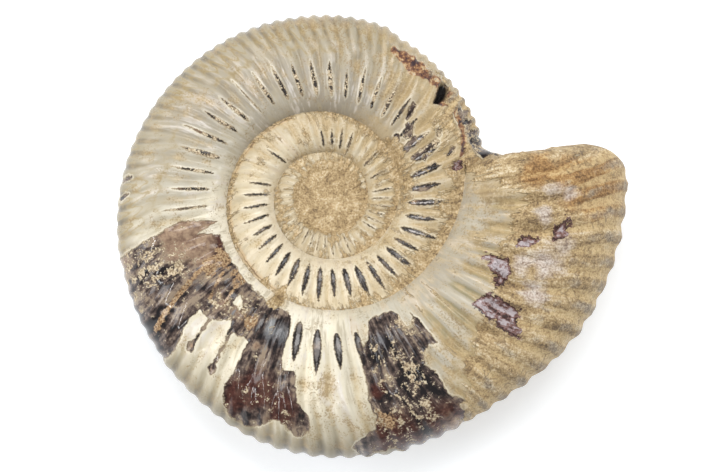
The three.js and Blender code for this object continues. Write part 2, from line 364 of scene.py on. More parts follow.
# Narrow drops below the left window, and small bare places: both ends and half the width.
TRAILS = [
    ((224.7, 49.0), (226.2, 58.4), 0.32), ((226.2, 59.2), (226.4, 60.0), 1.2),
    ((233.0, 47.0), (234.6, 59.2), 0.32), ((234.8, 60.2), (234.9, 61.0), 1.2),
    ((173.4, 59.2), (174.8, 61.0), 0.42), ((178.4, 59.8), (180.0, 61.6), 0.42),
    ((211, 68.5), (213, 70), 0.4), ((15.0, 23.0), (18.7, 32.4), 0.5),
    ((27, 27.4), (29.0, 35.3), 0.9), ((34, 26.8), (36, 30.3), 1.1), ((42, 26.2), (44, 27), 0.9),
    ((40, 29.7), (43, 31.5), 1.2), ((7.0, 25.5), (7.6, 29.5), 0.8),
    ((358, 24.5), (358.6, 27.5), 0.6), ((47, 33), (49, 37), 0.7), ((24, 30), (25, 31), 0.7),
    ((21, 37), (23, 39), 0.6), ((31, 37), (33, 38), 0.6),
]
PIT = [
    (41.6, 42.2), (43.4, 41.2), (45.2, 44.0), (47.2, 47.4), (45.6, 48.4), (43.0, 47.4), (41.4, 45.2),
]
WINDOWS_FROM, PIT_BEFORE = 340, 500  # angles of the coil
LOWER_SIDE_WINDOWS = [(LOWER_WINDOW, -150), (RIGHT_WINDOW, -78), (LEFT_WINDOW, 60)]


def window_depth(angle, across):
    upper = np.full(angle.shape, FAR_OUT)
    lower = np.full(angle.shape, FAR_OUT)
    seen, run = from_above(angle, across)
    radius, _ = section(angle, across)
    for outline in UPPER_WINDOWS:
        upper = np.maximum(upper, inside_outline(seen, run, outline))
    upper = np.minimum(upper, -inside_outline(seen, run, SHELL_ISLAND))
    for start, end, half_width in TRAILS:
        upper = np.maximum(upper, inside_stroke(seen, run, start, end, half_width))
    upper = np.maximum(upper, np.where(angle < PIT_BEFORE, inside_outline(seen, run, PIT), FAR_OUT))
    run_under = np.where(across > 1.5, radius, 2 * venter_radius(angle) - radius)
    for outline, turned in LOWER_SIDE_WINDOWS:
        grown = math.exp(VENTER_GROWTH * math.radians(turned))
        lower = np.maximum(lower, grown * inside_outline(angle - turned, run_under / grown, outline))
    upper = np.where(across < 2, upper, FAR_OUT)
    lower = np.minimum(lower, (across - 1.6) * 15)
    deepest = np.maximum(upper, lower)
    return np.clip(np.where(angle > WINDOWS_FROM, deepest, FAR_OUT), -6, 6)


print("windows above:", len(UPPER_WINDOWS), "and below:", len(LOWER_SIDE_WINDOWS))

# %% [markdown]
# ## Height of everything above the smooth whorl
#
# Where the shell is gone the surface lies about half a millimetre lower. The inner coil and the
# broken end are grainy stone. A dark pit and a ragged step lie on the early part of the last
# whorl.

# %% Relief, in mm
SHELL_THICKNESS, PIT_DEPTH, STEP_DEPTH = 0.45, 2.6, 1.1
STEP_EDGE = (  # angles, and how far out the ragged step starts there
    [374, 380, 388, 396, 400, 412, 420, 428], [40.5, 43.5, 45.6, 46.8, 47.9, 48, 48.8, 48.8],
)


def grain(points, size, octaves=3):
    """Noise from -1 to 1 at points in mm, with lumps of about that size."""
    return np.array([noise.fractal(Vector(p) / size, 1.0, 2.0, octaves) for p in points])


def early_break(angle, across):
    """1 outside the ragged step that runs along the start of the last whorl."""
    seen, run = from_above(angle, across)
    edge = np.interp(seen, *STEP_EDGE) + 0.25 * np.sin(angle * 0.9) + 0.15 * np.sin(angle * 2.3 + 1)
    along = smoothstep(372, 380, angle) * smoothstep(432, 426, angle)
    return smoothstep(0, 0.8, run - edge) * along * (across < 2)


def own_relief(angle, across):
    gone = smoothstep(-0.1, 0.5, window_depth(angle, across))
    seen, run = from_above(angle, across)
    pit = smoothstep(-0.2, 1.4, inside_outline(seen, run, PIT))
    pit = np.where((angle > BODY_ANGLE) & (angle < PIT_BEFORE) & (across < 1.5), pit, 0)
    height = own_ribs(angle, across) - SHELL_THICKNESS * gone - PIT_DEPTH * pit
    height = height - STEP_DEPTH * early_break(angle, across)
    stone = np.where(angle > STONE_FROM, inside_outline(seen, run, STONE_AT_END), FAR_OUT)
    lumpy = stone > -1
    spots = coil_point(angle, *section(angle, across))[lumpy]
    lumps = 0.4 * grain(spots, 6) + 0.15 * grain(spots, 1.7)
    height[lumpy] += lumps * smoothstep(-1, 1, stone[lumpy])
    return height


def end_lean(angle, across):
    """Degrees by which the ragged end of the coil leans back."""
    out, _ = reach_out(angle, across)
    ragged = 0.35 * np.sin(11 * out + 0.5) + 0.25 * np.sin(25 * out)
    return (2.0 + ragged) * smoothstep(END_ANGLE - 14, END_ANGLE, angle)


def shell_points(angle, across):
    """Places of shell points in mm, about the coil's axis."""
    on_seam = (across <= 1e-6) | (across >= 3 - 1e-6)
    below_across = np.where(across < 1.5, 1.0, 2.0)
    a = np.where(on_seam, angle - 360, angle)
    c = np.where(on_seam, below_across, across)
    radius, z = section(a, c)
    out_r, out_z = facing(a, c)
    low_r, low_z = facing(angle - 360, below_across)
    own = np.where(on_seam, 1.0, smoothstep(0, 0.12, fold(across)))
    lift = own_relief(a, c) * own
    seam_lift = own_relief(angle - 360, below_across) * (1 - own)
    radius = radius + out_r * lift + low_r * seam_lift
    z = z + out_z * lift + low_z * seam_lift
    return coil_point(a - end_lean(a, c), radius, z)


print("bare calcite lies", SHELL_THICKNESS, "mm lower and the pit", PIT_DEPTH, "mm")

# %% [markdown]
# ## A sheet to wrap
#
# No primitive coils like a shell, and screw or array modifiers repeat one section exactly. So
# I lay out flat grids, with the angle along X and the across value along Y, join them into one
# sheet, and then wrap the sheet in one step. The inner whorls are smaller, so their grids are
# coarser: where they meet a finer grid, the edges are subdivided to fit.

# %% Lay out the flat sheet
STEP = 0.6  # degrees between the columns of the last whorl
FIRST_ANGLE = BODY_ANGLE - 3 * 360
FACE_RINGS = 8
FACE_ANGLE = END_ANGLE + FACE_RINGS  # the broken end is laid out past the last column
SIDE_ROWS, EDGE_ROWS = 54, 27  # rows on the upper flank, and on the edge and the lower flank


def flat_grid(low_x, high_x, columns, low_y, high_y, rows):
    bpy.ops.object.select_all(action="DESELECT")
    bpy.ops.mesh.primitive_grid_add(x_subdivisions=columns, y_subdivisions=rows, size=1)
    grid = bpy.context.object
    grid.scale = (high_x - low_x, high_y - low_y, 1)
    grid.location = ((high_x + low_x) / 2, (high_y + low_y) / 2, 0)
    bpy.ops.object.transform_apply(location=True, rotation=False, scale=True)
    return grid


inner_columns = round((BODY_ANGLE - FIRST_ANGLE) / (2 * STEP))
body_columns = round((END_ANGLE - BODY_ANGLE) / STEP)
sheet_parts = [
    flat_grid(FIRST_ANGLE, BODY_ANGLE, inner_columns, 0, 1, SIDE_ROWS // 3),
    flat_grid(FIRST_ANGLE, BODY_ANGLE, inner_columns, 2, 3, EDGE_ROWS // 3),
]
for low_y, high_y, rows in ((0, 1, SIDE_ROWS), (1, 2, EDGE_ROWS), (2, 3, EDGE_ROWS)):
    sheet_parts.append(flat_grid(BODY_ANGLE, END_ANGLE, body_columns, low_y, high_y, rows))
    sheet_parts.append(flat_grid(END_ANGLE, FACE_ANGLE, FACE_RINGS, low_y, high_y, rows))
flat_faces = sum(len(part.data.polygons) for part in sheet_parts)
print("flat parts:", len(sheet_parts), "with", flat_faces, "faces")

# %% [markdown]
# ## Make the borders meet
#
# Three borders need extra points: the inner whorls' outer seam and their last column, and the
# first column of the last whorl, which the broken end's face comes down to. Subdividing an edge
# there adds the points and keeps the sheet closed.

# %% Subdivide the borders and join
def subdivide_border(grid, cuts, on_border):
    """Adds points to the edges whose both ends on_border(x, y) accepts."""
    bpy.ops.object.select_all(action="DESELECT")
    bpy.context.view_layer.objects.active = grid
    grid.select_set(True)
    bpy.ops.object.mode_set(mode="EDIT")
    bpy.ops.mesh.select_all(action="DESELECT")
    bpy.ops.object.mode_set(mode="OBJECT")
    points = [on_border(v.co.x, v.co.y) for v in grid.data.vertices]
    for edge in grid.data.edges:
        edge.select = all(points[i] for i in edge.vertices)
    bpy.ops.object.mode_set(mode="EDIT")
    bpy.ops.mesh.select_mode(type="EDGE")
    bpy.ops.mesh.subdivide(number_cuts=cuts, quadcorner="INNERVERT")
    bpy.ops.object.mode_set(mode="OBJECT")


NEAR = 0.001  # points closer than this are one
upper_inner, lower_inner, venter_grid = sheet_parts[0], sheet_parts[1], sheet_parts[4]
subdivide_border(upper_inner, 1, lambda x, y: y > 1 - NEAR and x > BODY_ANGLE - 360 - NEAR)
subdivide_border(lower_inner, 1, lambda x, y: y < 2 + NEAR and x > BODY_ANGLE - 360 - NEAR)
for grid in (upper_inner, lower_inner):
    subdivide_border(grid, 2, lambda x, y: x > BODY_ANGLE - NEAR)
subdivide_border(venter_grid, 3, lambda x, y: x < BODY_ANGLE + NEAR)

bpy.ops.object.select_all(action="DESELECT")
for grid in sheet_parts:
    grid.select_set(True)
bpy.context.view_layer.objects.active = upper_inner
bpy.ops.object.join()
ammonite = bpy.context.object
ammonite.name = ammonite.data.name = "polished_ammonite"
bpy.ops.object.mode_set(mode="EDIT")
bpy.ops.mesh.select_all(action="SELECT")
bpy.ops.mesh.remove_doubles(threshold=NEAR)
bpy.ops.object.mode_set(mode="OBJECT")
print("flat sheet:", len(ammonite.data.vertices), "points and", len(ammonite.data.polygons), "faces")

# %% [markdown]
# ## Keep the flat place of each corner
#
# The wrapped shell needs to remember each corner's angle and across value. A UV map is kept per
# corner, so it stays right at the seams, where two whorls share their points.

# %% Write the coil map
flat_place = np.empty(len(ammonite.data.vertices) * 3, np.float32)
ammonite.data.vertices.foreach_get("co", flat_place)
flat_place = flat_place.reshape(-1, 3).astype(float)
corner_point = np.empty(len(ammonite.data.loops), np.int32)
ammonite.data.loops.foreach_get("vertex_index", corner_point)
corner_angle, corner_across = flat_place[corner_point, 0], flat_place[corner_point, 1]

while ammonite.data.uv_layers:
    ammonite.data.uv_layers.remove(ammonite.data.uv_layers[0])


def write_map(name, u, v):
    layer = ammonite.data.uv_layers.new(name=name, do_init=False)
    layer.uv.foreach_set("vector", np.stack([u, v], axis=1).astype(np.float32).ravel())


write_map("coil", corner_angle / 360, corner_across)
angle = np.minimum(flat_place[:, 0], END_ANGLE)
across = flat_place[:, 1]
primary, secondary = rib_counts(angle, across)
write_map("ribs", primary[corner_point], secondary[corner_point])
print("corners:", len(corner_angle))

# %% [markdown]
# ## Where each finish lies
#
# Like the windows, every other stain is a smooth number on the mesh corners, and so are the
# painted shade at the outer edge and the painted glints: how far a crest is worn open, how much
# stone sticks to the shell, how creamy or rusty it is. The material turns these into sharp shapes
# with noise at the right scale.

# %% Stains and stone, by place
BAND = [
    (14, 38), (20, 42.5), (28, 44.5), (36, 45.6), (40, 47.6), (52, 47.8), (60, 48.6), (68, 48.5),
    (68.5, 47), (62, 45), (58, 43.6), (52, 44.8), (46, 45), (44, 42.5), (41, 42), (38, 44),
    (30, 43.5), (22, 41),
]
STONE_PATCH = [
    (238.0, 35.6), (240.6, 28.8), (243.4, 28.0), (245.6, 33.6), (243.2, 35.4), (240.5, 36.2),
]
MAUVE_PLATES = [
    [
        (322.8, 52.0), (326, 51.6), (330.2, 53.8), (330.4, 64.5), (326.6, 66.0), (324.6, 69.6),
        (322.6, 68.0),
    ],
    [
        (331.6, 54.6), (334, 53.4), (337.6, 50.0), (339, 47.4), (341.4, 47.8), (342.4, 55.0),
        (338.0, 57.6), (333, 57.0),
    ],
    [(345.2, 56.0), (348.0, 55.2), (350.2, 58.4), (349.6, 62.6), (346.4, 61.0)],
    [(348.4, 66.0), (352, 65.4), (356.4, 69.0), (355.6, 71.4), (351, 70.4)],
    [(11.6, 37.6), (14.0, 35.8), (17.6, 37.6), (18.6, 39.6), (16.0, 40.6), (12.6, 40.0)],
]
RUST_STROKES = [
    ((207, 40), (216.5, 64), 0.3), ((214, 38), (219, 46), 0.1), ((222, 37), (224.5, 44), 0.1),
]
NOT_HERE = -4.0  # millimetres outside a stain or a stone cover
print("plates:", len(MAUVE_PLATES), "and rust strokes:", len(RUST_STROKES))

# %% [markdown]
# ## Spots of stain, some partly painted sheen
#
# The calcite is dull brown, glossy, maroon or steel-grey by patches, and the stone is umber or
# lilac. The steel-grey patches and the palest lilac ones are partly painted reflection of the
# lights on the polish. Each patch is a soft spot where the photo shows one, strongest in its middle.

# %% Spots: angle, millimetres from the axis, reach in mm and, unless it is 1, strength
SPOTS = {
    "dull": [
        (196, 43, 9), (191, 38, 6), (192, 47, 7), (197, 66, 4), (301, 75, 6), (243, 48, 1.6),
        (222, 44, 6, 0.6), (231, 42, 5, 0.6), (212, 46, 6, 0.4), (208, 56, 8, 0.35),
        (200, 62, 6, 0.4), (176, 50, 7), (184, 50, 7), (226.3, 59.6, 0.9), (234.9, 60.6, 0.9),
        (150, 45, 4), (167, 50, 4),
    ],
    "glossy": [
        (246, 42, 9, 0.35), (238, 41, 5, 0.3), (288, 45, 6, 0.7), (297, 62, 7), (303, 74, 4),
        (215, 64, 6), (204, 57, 4),
    ],
    "maroon": [
        (248, 60, 7), (244, 64, 6), (257, 63, 6), (286, 73, 9), (298, 73, 7), (200, 36, 5),
        (284, 58, 3),
    ],
    # lilac spots: a lilac stain, and in their palest parts painted sheen
    "lilac": [
        (2.6, 65.6, 4), (1.4, 70, 3), (355.7, 63, 4), (349, 70, 5), (343.6, 66.5, 6),
        (341, 59, 4), (335, 65.5, 5),
    ],
    "umber": [(3, 77, 10), (9, 62, 6), (6, 70, 7)],
    "tan": [
        (95, 62, 12, 0.8), (75, 57, 9, 0.6), (113, 66, 8, 0.5), (60, 40, 8, 0.6),
        (20, 33, 10, 0.8), (40, 38, 8, 0.7), (64, 52, 7, 0.4), (127, 62, 6, 0.4),
        (148, 66, 5, 0.4), (300, 70, 9, 0.5), (312, 60, 8, 0.6), (338, 50, 7, 0.5),
        (357, 52, 9, 0.7), (2, 47, 7, 0.7), (345, 46, 6, 0.5), (305, 52, 6, 0.3),
        (262, 55, 4, 0.4), (268, 56, 4, 0.4), (280, 70, 6, 0.3),
    ],
    # steel-grey calcite, partly painted reflection of the lights along the ribs
    "steel": [
        (247, 42, 7), (251, 50, 4, 0.7), (213, 47, 4, 0.8), (221, 46, 4, 0.8), (230, 44, 4, 0.7),
        (205, 55, 4, 0.5), (291, 44, 6, 0.7),
    ],
    "crumbly": [
        (199, 57, 8, 0.9), (196, 65, 8, 0.8), (203, 50, 7, 0.8), (206, 62, 5, 0.5),
        (233, 40, 5, 1), (289, 48, 7, 0.7), (297, 55, 8, 0.8), (289, 60, 8, 0.8),
        (301, 42, 5, 1.1), (292, 68, 8, 0.7), (286, 73, 7, 0.6), (246, 62, 6, 0.3),
        (256, 63, 6, 0.4), (222, 44, 7, 0.85), (232, 43, 5, 0.8), (30, 36, 14, 0.9),
        (24, 47, 8, 0.95),
    ],
    "rusty": [
        (208, 35.5, 4.5), (220, 35, 3.5, 0.75), (233, 36.5, 3, 0.5), (209, 41, 3),
        (227, 42, 3, 0.5), (284, 67, 4), (236, 43, 3), (47, 46, 3), (58, 47, 5), (66, 47, 4),
        (1, 22, 4), (12, 22.5, 3),
    ],
}
print("spots of stain:", sum(len(spots) for spots in SPOTS.values()))

# %% [markdown]
# ## Ready to place them
#
# A few functions and names for each point of the flat sheet: how near it is to a spot, which
# whorl and side it belongs to, and where it shows from above.

# %% Where each point belongs
def near_spots(angle, radius, spots):
    """A spot's strength, or 1, at its middle, falling off over its reach."""
    most = np.zeros(angle.shape)
    for at, out, reach, *strength in spots:
        x = ((angle - at + 180) % 360 - 180) * np.radians(out)
        near = np.exp(-(x * x + (radius - out) ** 2) / reach**2)
        most = np.maximum(most, near * (strength[0] if strength else 1))
    return most


def whorl_random(count, seed):
    """A number from 0 to 1 that belongs to one rib."""
    return (np.sin(np.round(count) * 12.9898 + seed * 78.233) * 43758.5453) % 1


image_angle = angle % 360
last_whorl = angle >= BODY_ANGLE
second_whorl = (angle >= BODY_ANGLE - 360) & ~last_whorl
upper_side = across <= 1.5
out_share, _ = reach_out(angle, across)
radius, _ = section(angle, across)
seen, run = from_above(angle, across)
seen_share = (run - seam_radius(angle)) / whorl_height(angle)
depth = window_depth(angle, across)
spot = {name: near_spots(seen, run, spots) for name, spots in SPOTS.items()}
print("share of points on the last whorl:", round(float(np.mean(last_whorl)), 2))

# %% [markdown]
# ## Worn crests
#
# Polishing cut through the crest of each rib in a tear shape, widest near the coil's middle.
# Each rib has its own width, and so has each stretch of the coil.

# %% Half width of the worn opening on each crest, as a share of a rib
chance = whorl_random(primary, 1)
widest = np.where(
    last_whorl,
    np.interp(angle, [373, 400, 425, 545, 556, 600, 615, 635, 660, 668, 733],
              [0.22, 0.20, 0.13, 0.17, 0.22, 0.2, 0.24, 0.2, 0.1, 0.0, 0.0]),
    np.interp(angle, [-200, 20, 60, 140, 190, 210, 300, 325, 340, 373],
              [0.0, 0.08, 0.12, 0.12, 0.11, 0.17, 0.22, 0.17, 0.16, 0.2]),
)
opens_at = np.interp(angle, [411, 544, 616, 633], [0.2, 0.19, 0.09, 0.14])
opens_at = np.where(last_whorl, opens_at, 0.1)
closes_at = np.interp(angle, [373, 411, 500, 544, 616], [0.5, 0.56, 0.66, 0.64, 0.46])
closes_at = np.where(last_whorl, closes_at, 0.55) - 0.12 * whorl_random(primary, 2)
along = np.clip((seen_share - opens_at) / (closes_at - opens_at), 0, 1)
tear = along**0.45 * (1 - along) ** 0.9 / 0.424
uneven = last_whorl & (angle > 480) & (angle < 555)
strength = np.where(uneven, 0.2 + 0.9 * chance, 0.6 + 0.5 * chance)
strength = np.where(angle > 600, 1.0, strength)
seldom = np.interp(angle, [0, 20, 60, 150, 185, 215], [0.3, 0.55, 0.72, 0.45, 0.3, 0.0])
strength = np.where(last_whorl, strength, np.where(chance < seldom, 0.0, 0.7 + 0.5 * chance))
strength = np.where(upper_side, strength, np.where(chance > 0.45, strength, 0.2))
past_end = np.maximum(np.maximum(opens_at - seen_share, seen_share - closes_at), 0)
closed = (widest < 0.02) | (strength < 0.15)
spindle = widest * tear * strength - 0.02 - 4 * past_end - 0.12 * closed
print("worn crests, widest:", round(float(spindle.max()), 2), "of a rib")

# %% [markdown]
# ## Growth layers
#
# A shell grows in thin layers. Polishing cuts them at a slant, and more so on the ribs, so they
# show as arcs. The number of layers cut rises outwards, and the arcs show on the outer flank.

# %% Layers cut by the polish
forked = smoothstep(0.5, 0.8, out_share)
layers_cut = 6 * seen_share + crest(secondary, 1.0) * forked + 0.5 * crest(primary, 1.0) * (1 - forked)
arched = np.interp(
    image_angle,
    [0, 50, 80, 110, 195, 215, 300, 320, 335], [0.2, 0.3, 0.7, 1, 1, 0.3, 0.3, 0.7, 0.2],
)
arched = arched * last_whorl * smoothstep(0.45, 0.6, out_share) * smoothstep(1.5, 1.3, across)
print("growth layers cut, at most:", round(float(layers_cut.max()), 1))

# %% [markdown]
# ## Stone, plates and colour
#
# Sandy stone fills the coil's middle, sits in the seams and covers the broken end. Each cover is a
# distance into it in millimetres, and where two covers meet the larger distance counts.

# %% Stone, plates and the broken band
stone = np.where(angle > STONE_FROM, inside_outline(seen, run, STONE_AT_END), NOT_HERE)
stone_patch = np.clip(3 * inside_outline(seen, run, STONE_PATCH), -4, 4)
stone = np.maximum(stone, np.where(upper_side, stone_patch, NOT_HERE))
stone = np.maximum(stone, np.minimum(FILL_RADIUS - radius, 2.0))
in_seam = np.where(last_whorl, NOT_HERE, (fold(across) - 0.93) * 9)
seam_stain = np.interp(
    image_angle,
    [0, 60, 120, 200, 240, 300, 330, 360], [2.2, 1.2, 0.9, 0.9, 0.4, 1.6, 2.4, 2.2],
)
stone = np.maximum(stone, in_seam + seam_stain - 1.1)
early = np.interp(angle, [300, 350, 373, 395, 415, 440], [NOT_HERE, 0.0, 1.4, 1.0, -1.0, NOT_HERE])
early = early - 4.0 * smoothstep(-1, 0.5, inside_outline(seen, run, EARLY_WINDOW)) * upper_side
mid_flank = smoothstep(0.05, 0.2, out_share) * smoothstep(0.9, 0.5, out_share)
stone = np.maximum(stone, early - 2.0 * mid_flank)
inner_haze = np.interp(angle, [-700, -350, 0, 120, 200, 320], [0.6, 0.2, -0.5, -0.9, -1.6, -1.3])
stone = np.where(last_whorl, stone, np.maximum(stone, inner_haze))
stone = np.where(flat_place[:, 0] > END_ANGLE, 3.0, stone)

mauve = np.max([inside_outline(seen, run, plate) for plate in MAUVE_PLATES], axis=0)
mauve = np.where(upper_side & (angle > 360), mauve, NOT_HERE)
in_band = last_whorl & upper_side & (angle < 460)
band = np.where(in_band, inside_outline(seen, run, BAND), NOT_HERE)
in_pit = (angle > BODY_ANGLE) & (angle < PIT_BEFORE) & upper_side
pit = np.where(in_pit, inside_outline(seen, run, PIT), NOT_HERE)
print("share of points under stone:", round(float(np.mean(stone > 0)), 2))

# %% [markdown]
# ## Cream, crumbs and tan
#
# A shell that lay in the ground is never one colour, so how creamy, how crumbly and how tan it is
# changes along the coil, as in the photo. Near a window, crumbs gather at spots of their own.

# %% How the colour changes along the coil
cream = np.where(
    last_whorl,
    np.interp(angle, [373, 420, 490, 510, 540, 555, 620, 650, 670, 733],
              [0.1, -0.15, -0.15, 0.1, 0.35, 0.85, 0.95, 0.65, 0.3, 0.0]),
    np.interp(angle, [-300, 0, 100, 180, 210, 300, 340, 373],
              [0.5, 0.4, 0.45, 0.95, 1.2, 0.9, 0.5, 0.35]),
)
outer_flank = np.interp(angle, [380, 400, 480, 510], [0, 1, 1, 0]) * smoothstep(0.35, 0.6, out_share)
inner_flank = np.interp(angle, [440, 470, 540, 560], [0, 1, 1, 0]) * smoothstep(0.35, 0.1, out_share)
cream = cream - 0.5 * outer_flank + 0.3 * inner_flank
by_seam = np.interp(angle, [530, 550, 610, 640], [0, 1, 1, 0]) * smoothstep(0.3, 0.05, out_share)
cream = cream + 0.4 * by_seam
crumbly = np.where(
    last_whorl,
    np.interp(angle, [373, 430, 530, 545, 560, 600, 640], [1.1, 1.05, 1.0, 1.1, 0, 0.2, 0.3]),
    np.interp(angle, [0, 60, 130, 170, 200, 240, 330, 373],
              [0.9, 0.5, 0.4, 0.5, 0.2, 0.35, 0.4, 0.9]),
)
crumbly = np.where(depth > -2, spot["crumbly"], crumbly)
inner_tan = np.interp(image_angle, [0, 90, 180, 240, 320, 360], [0.5, 0.35, 0.0, -0.05, 0.3, 0.5])
rust_lines = [smoothstep(-1.6, 0.4, inside_stroke(seen, run, *stroke)) for stroke in RUST_STROKES]
groove = 1 - crest(primary, 1.5) * (1 - forked) - crest(secondary, 1.25) * forked
print("cream, from and to:", round(float(cream.min()), 2), round(float(cream.max()), 2))

# %% [markdown]
# ## Keep the fields on the corners
#
# Each field is stored on the mesh under its name, corner by corner as the maps are, because two
# whorls that share a point differ in colour there.

# %% Write the fields
open_seam = np.where((image_angle > 115) & (image_angle < 246), 0, -9)
near_end = np.interp(angle, [655, 672, 710, 733], [0, 1, 1, 0.7])
fields = {
    "window": depth,
    "spindle": spindle,
    "rib_mm": RIB_WIDTH * radius,
    "layers": layers_cut,
    "arched": arched,
    "seam": np.where(second_whorl & upper_side, (across - 0.955) * 16, -9) + open_seam,
    "stone": np.clip(stone, -4, 4),
    "mauve": np.clip(mauve, -4, 4),
    "dull": (spot["dull"] - spot["glossy"]) * last_whorl,
    "rust": np.maximum(spot["rusty"], np.max(rust_lines, axis=0) * last_whorl),
    "fork_open": np.where(early_break(angle, across) * (angle < 400) > 0.3, 0.24, -0.4),
    "tan": np.where(last_whorl, spot["tan"], inner_tan),
    "crumbly": crumbly,
    "outward": run / venter_radius(angle),
    "streaky": np.interp(radius, [9, 16, 26, 34], [0.1, 0.4, 0.7, 1.0]),
    # strength of the pale middle of worn crests: partly a painted glint of the lights on glossy calcite
    "core_glint_strength": np.interp(
        angle, [318, 335, 395, 405, 600, 612, 636, 645], [0.2, 0.9, 0.8, 0.0, 0.0, 0.2, 0.2, 0.0],
    ),
    "fingers": np.where(angle > STONE_FROM, 1.0, 0.4),
    # painted shade over the outer flank of the upper side
    "shaded": 0.5 * outer_flank * upper_side,
    "olive": near_end * groove * smoothstep(0.1, 0.3, out_share),
    "cream": cream,
    "groove": groove * smoothstep(0.1, 0.35, out_share),
    "pit": pit,
    "band": np.clip(band, -4, 4),
}
for name in ("maroon", "steel", "lilac", "umber"):
    fields[name] = spot[name] * last_whorl
for name, values in fields.items():
    attribute = ammonite.data.attributes.new(name, "FLOAT", "CORNER")
    attribute.data.foreach_set("value", values[corner_point].astype(np.float32))
print("fields on the corners:", ", ".join(fields))

# %% [markdown]
# ## Wrap it
#
# Columns past the last angle belong to the broken end: they are drawn in, ring by ring, from the
# last section to the venter of the turn that it lies on, and roughened like broken stone.

# %% Wrap the sheet onto the coil
def even_row(across):
    """How far round the section a row is, from 0 to 1, with rows counted evenly."""
    rows = np.where(across < 1, SIDE_ROWS * across, SIDE_ROWS + EDGE_ROWS * (across - 1))
    return rows / (SIDE_ROWS + 2 * EDGE_ROWS)


places = shell_points(angle, across)

ring = np.clip((flat_place[:, 0] - END_ANGLE) / FACE_RINGS, 0, 1)
on_face = ring > 0
inner_end = shell_points(np.full(on_face.sum(), float(BODY_ANGLE)), 1 + even_row(across[on_face]))
t = ring[on_face][:, None]
places[on_face] = places[on_face] * (1 - t) + inner_end * t
broken = grain(places[on_face], 7) * 1.5 + grain(places[on_face], 1.8) * 0.35
broken = broken * 4 * ring[on_face] * (1 - ring[on_face])
end_turn = math.radians(END_ANGLE)
places[on_face] += broken[:, None] * np.array([-math.sin(end_turn), math.cos(end_turn), 0])

from_axis = np.hypot(places[:, 0], places[:, 1])
filled = (from_axis < FILL_RADIUS) & ~on_face
level = FILL_LEVEL + 0.12 * grain(places[filled], 1.5) + 0.1 * (from_axis[filled] / FILL_RADIUS) ** 2
upper_part = np.sign(1.5 - across[filled])
places[filled, 2] = upper_part * np.maximum(np.abs(places[filled, 2]), level)

ammonite.data.vertices.foreach_set("co", places.astype(np.float32).ravel())
bpy.ops.object.mode_set(mode="EDIT")
bpy.ops.mesh.select_all(action="SELECT")
bpy.ops.mesh.remove_doubles(threshold=0.004)
bpy.ops.object.mode_set(mode="OBJECT")
ammonite.data.update()
print("wrapped:", len(ammonite.data.vertices), "points")

# %% [markdown]
# ## Close the middle
#
# The coil starts as a tiny chamber that can't be seen here. The hole left on each side is filled
# with one face, and poked into a fan.

# %% Fill the coil's middle
def select_open_edges():
    bpy.ops.object.mode_set(mode="EDIT")
    bpy.ops.mesh.select_mode(type="EDGE")
    bpy.ops.mesh.select_all(action="DESELECT")
    bpy.ops.mesh.select_non_manifold(extend=False)
    bpy.ops.object.mode_set(mode="OBJECT")
    return [edge for edge in ammonite.data.edges if edge.select]


print("open edges before closing:", len(select_open_edges()))
for side in (1, -1):
    for edge in select_open_edges():
        height = sum(ammonite.data.vertices[i].co.z for i in edge.vertices)
        edge.select = side * height > 0
    bpy.ops.object.mode_set(mode="EDIT")
    bpy.ops.mesh.edge_face_add()
    bpy.ops.mesh.poke()
    bpy.ops.object.mode_set(mode="OBJECT")
print("open edges left:", len(select_open_edges()))

# %% [markdown]
# ## Turn the faces outwards
#
# Wrapping the sheet turned it inside out. All the normals are worked out again, and the volume
# under the faces tells that they face outwards: it is above zero only then.

# %% Turn the faces outwards
bpy.ops.object.mode_set(mode="EDIT")
bpy.ops.mesh.select_mode(type="FACE")
bpy.ops.mesh.select_all(action="SELECT")
bpy.ops.mesh.normals_make_consistent(inside=False)
bpy.ops.object.mode_set(mode="OBJECT")
upward = sum(p.area * p.normal.z * p.center.z for p in ammonite.data.polygons)
print("volume from the faces' directions, in cm3:", round(upward / 1000, 1))

# %% [markdown]
# ## Lay it down
#
# The end of the coil is thicker than the rest, so the fossil lies tipped by a few degrees, on
# ribs that are ground flat where they touch the table.

# %% Tip, ground and centre the shell
FLAT_DEPTH = 0.7
laid = np.empty(len(ammonite.data.vertices) * 3, np.float32)
ammonite.data.vertices.foreach_get("co", laid)
laid = laid.reshape(-1, 3).astype(float) @ TIP.T
laid[:, 2] -= laid[:, 2].min() + FLAT_DEPTH
laid[:, 2] = np.maximum(laid[:, 2], 0)
laid[:, :2] += (LOW[:2] + HIGH[:2]) / 2 - (laid.min(0)[:2] + laid.max(0)[:2]) / 2
ammonite.data.vertices.foreach_set("co", (laid * MM).astype(np.float32).ravel())
ammonite.data.update()
ammonite.location = (0, 0, 0)
bpy.context.view_layer.update()
print("visual box in mm:", np.round(laid.max(0) - laid.min(0), 1), "against", np.round(HIGH - LOW, 1))

triangles = sum(len(p.vertices) - 2 for p in ammonite.data.polygons)
print("triangles:", triangles)
for polygon in ammonite.data.polygons:
    polygon.use_smooth = True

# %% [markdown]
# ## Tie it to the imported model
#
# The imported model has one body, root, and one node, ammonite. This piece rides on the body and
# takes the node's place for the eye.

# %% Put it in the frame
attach(ammonite, "root")
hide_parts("ammonite")
print("piece:", ammonite.name)

# %% [markdown]
# ## One material, built up as the real one is
#
# The real thing is aragonite shell over dark calcite, with sandy limestone stuck to it, all of it
# polished together. It gives the eye a pale pearly skin, near-black glossy stone where the skin
# is gone, and dull tan grains. One function adds every node and fills its inputs.

# %% Colours and nodes
def linear(hex_colour):
    """An sRGB hex value as the linear colour that Blender wants."""
    parts = [int(hex_colour[i:i + 2], 16) / 255 for i in (1, 3, 5)]
    return tuple(c / 12.92 if c <= 0.04045 else ((c + 0.055) / 1.055) ** 2.4 for c in parts) + (1.0,)


# Polished fossil: fine pale shell, mirror-dark calcite in the openings, matte sandstone grains.
polished = bpy.data.materials.new("polished_shell_calcite_and_sandstone")
polished.use_nodes = True
tree = polished.node_tree
surface = tree.nodes["Principled BSDF"]


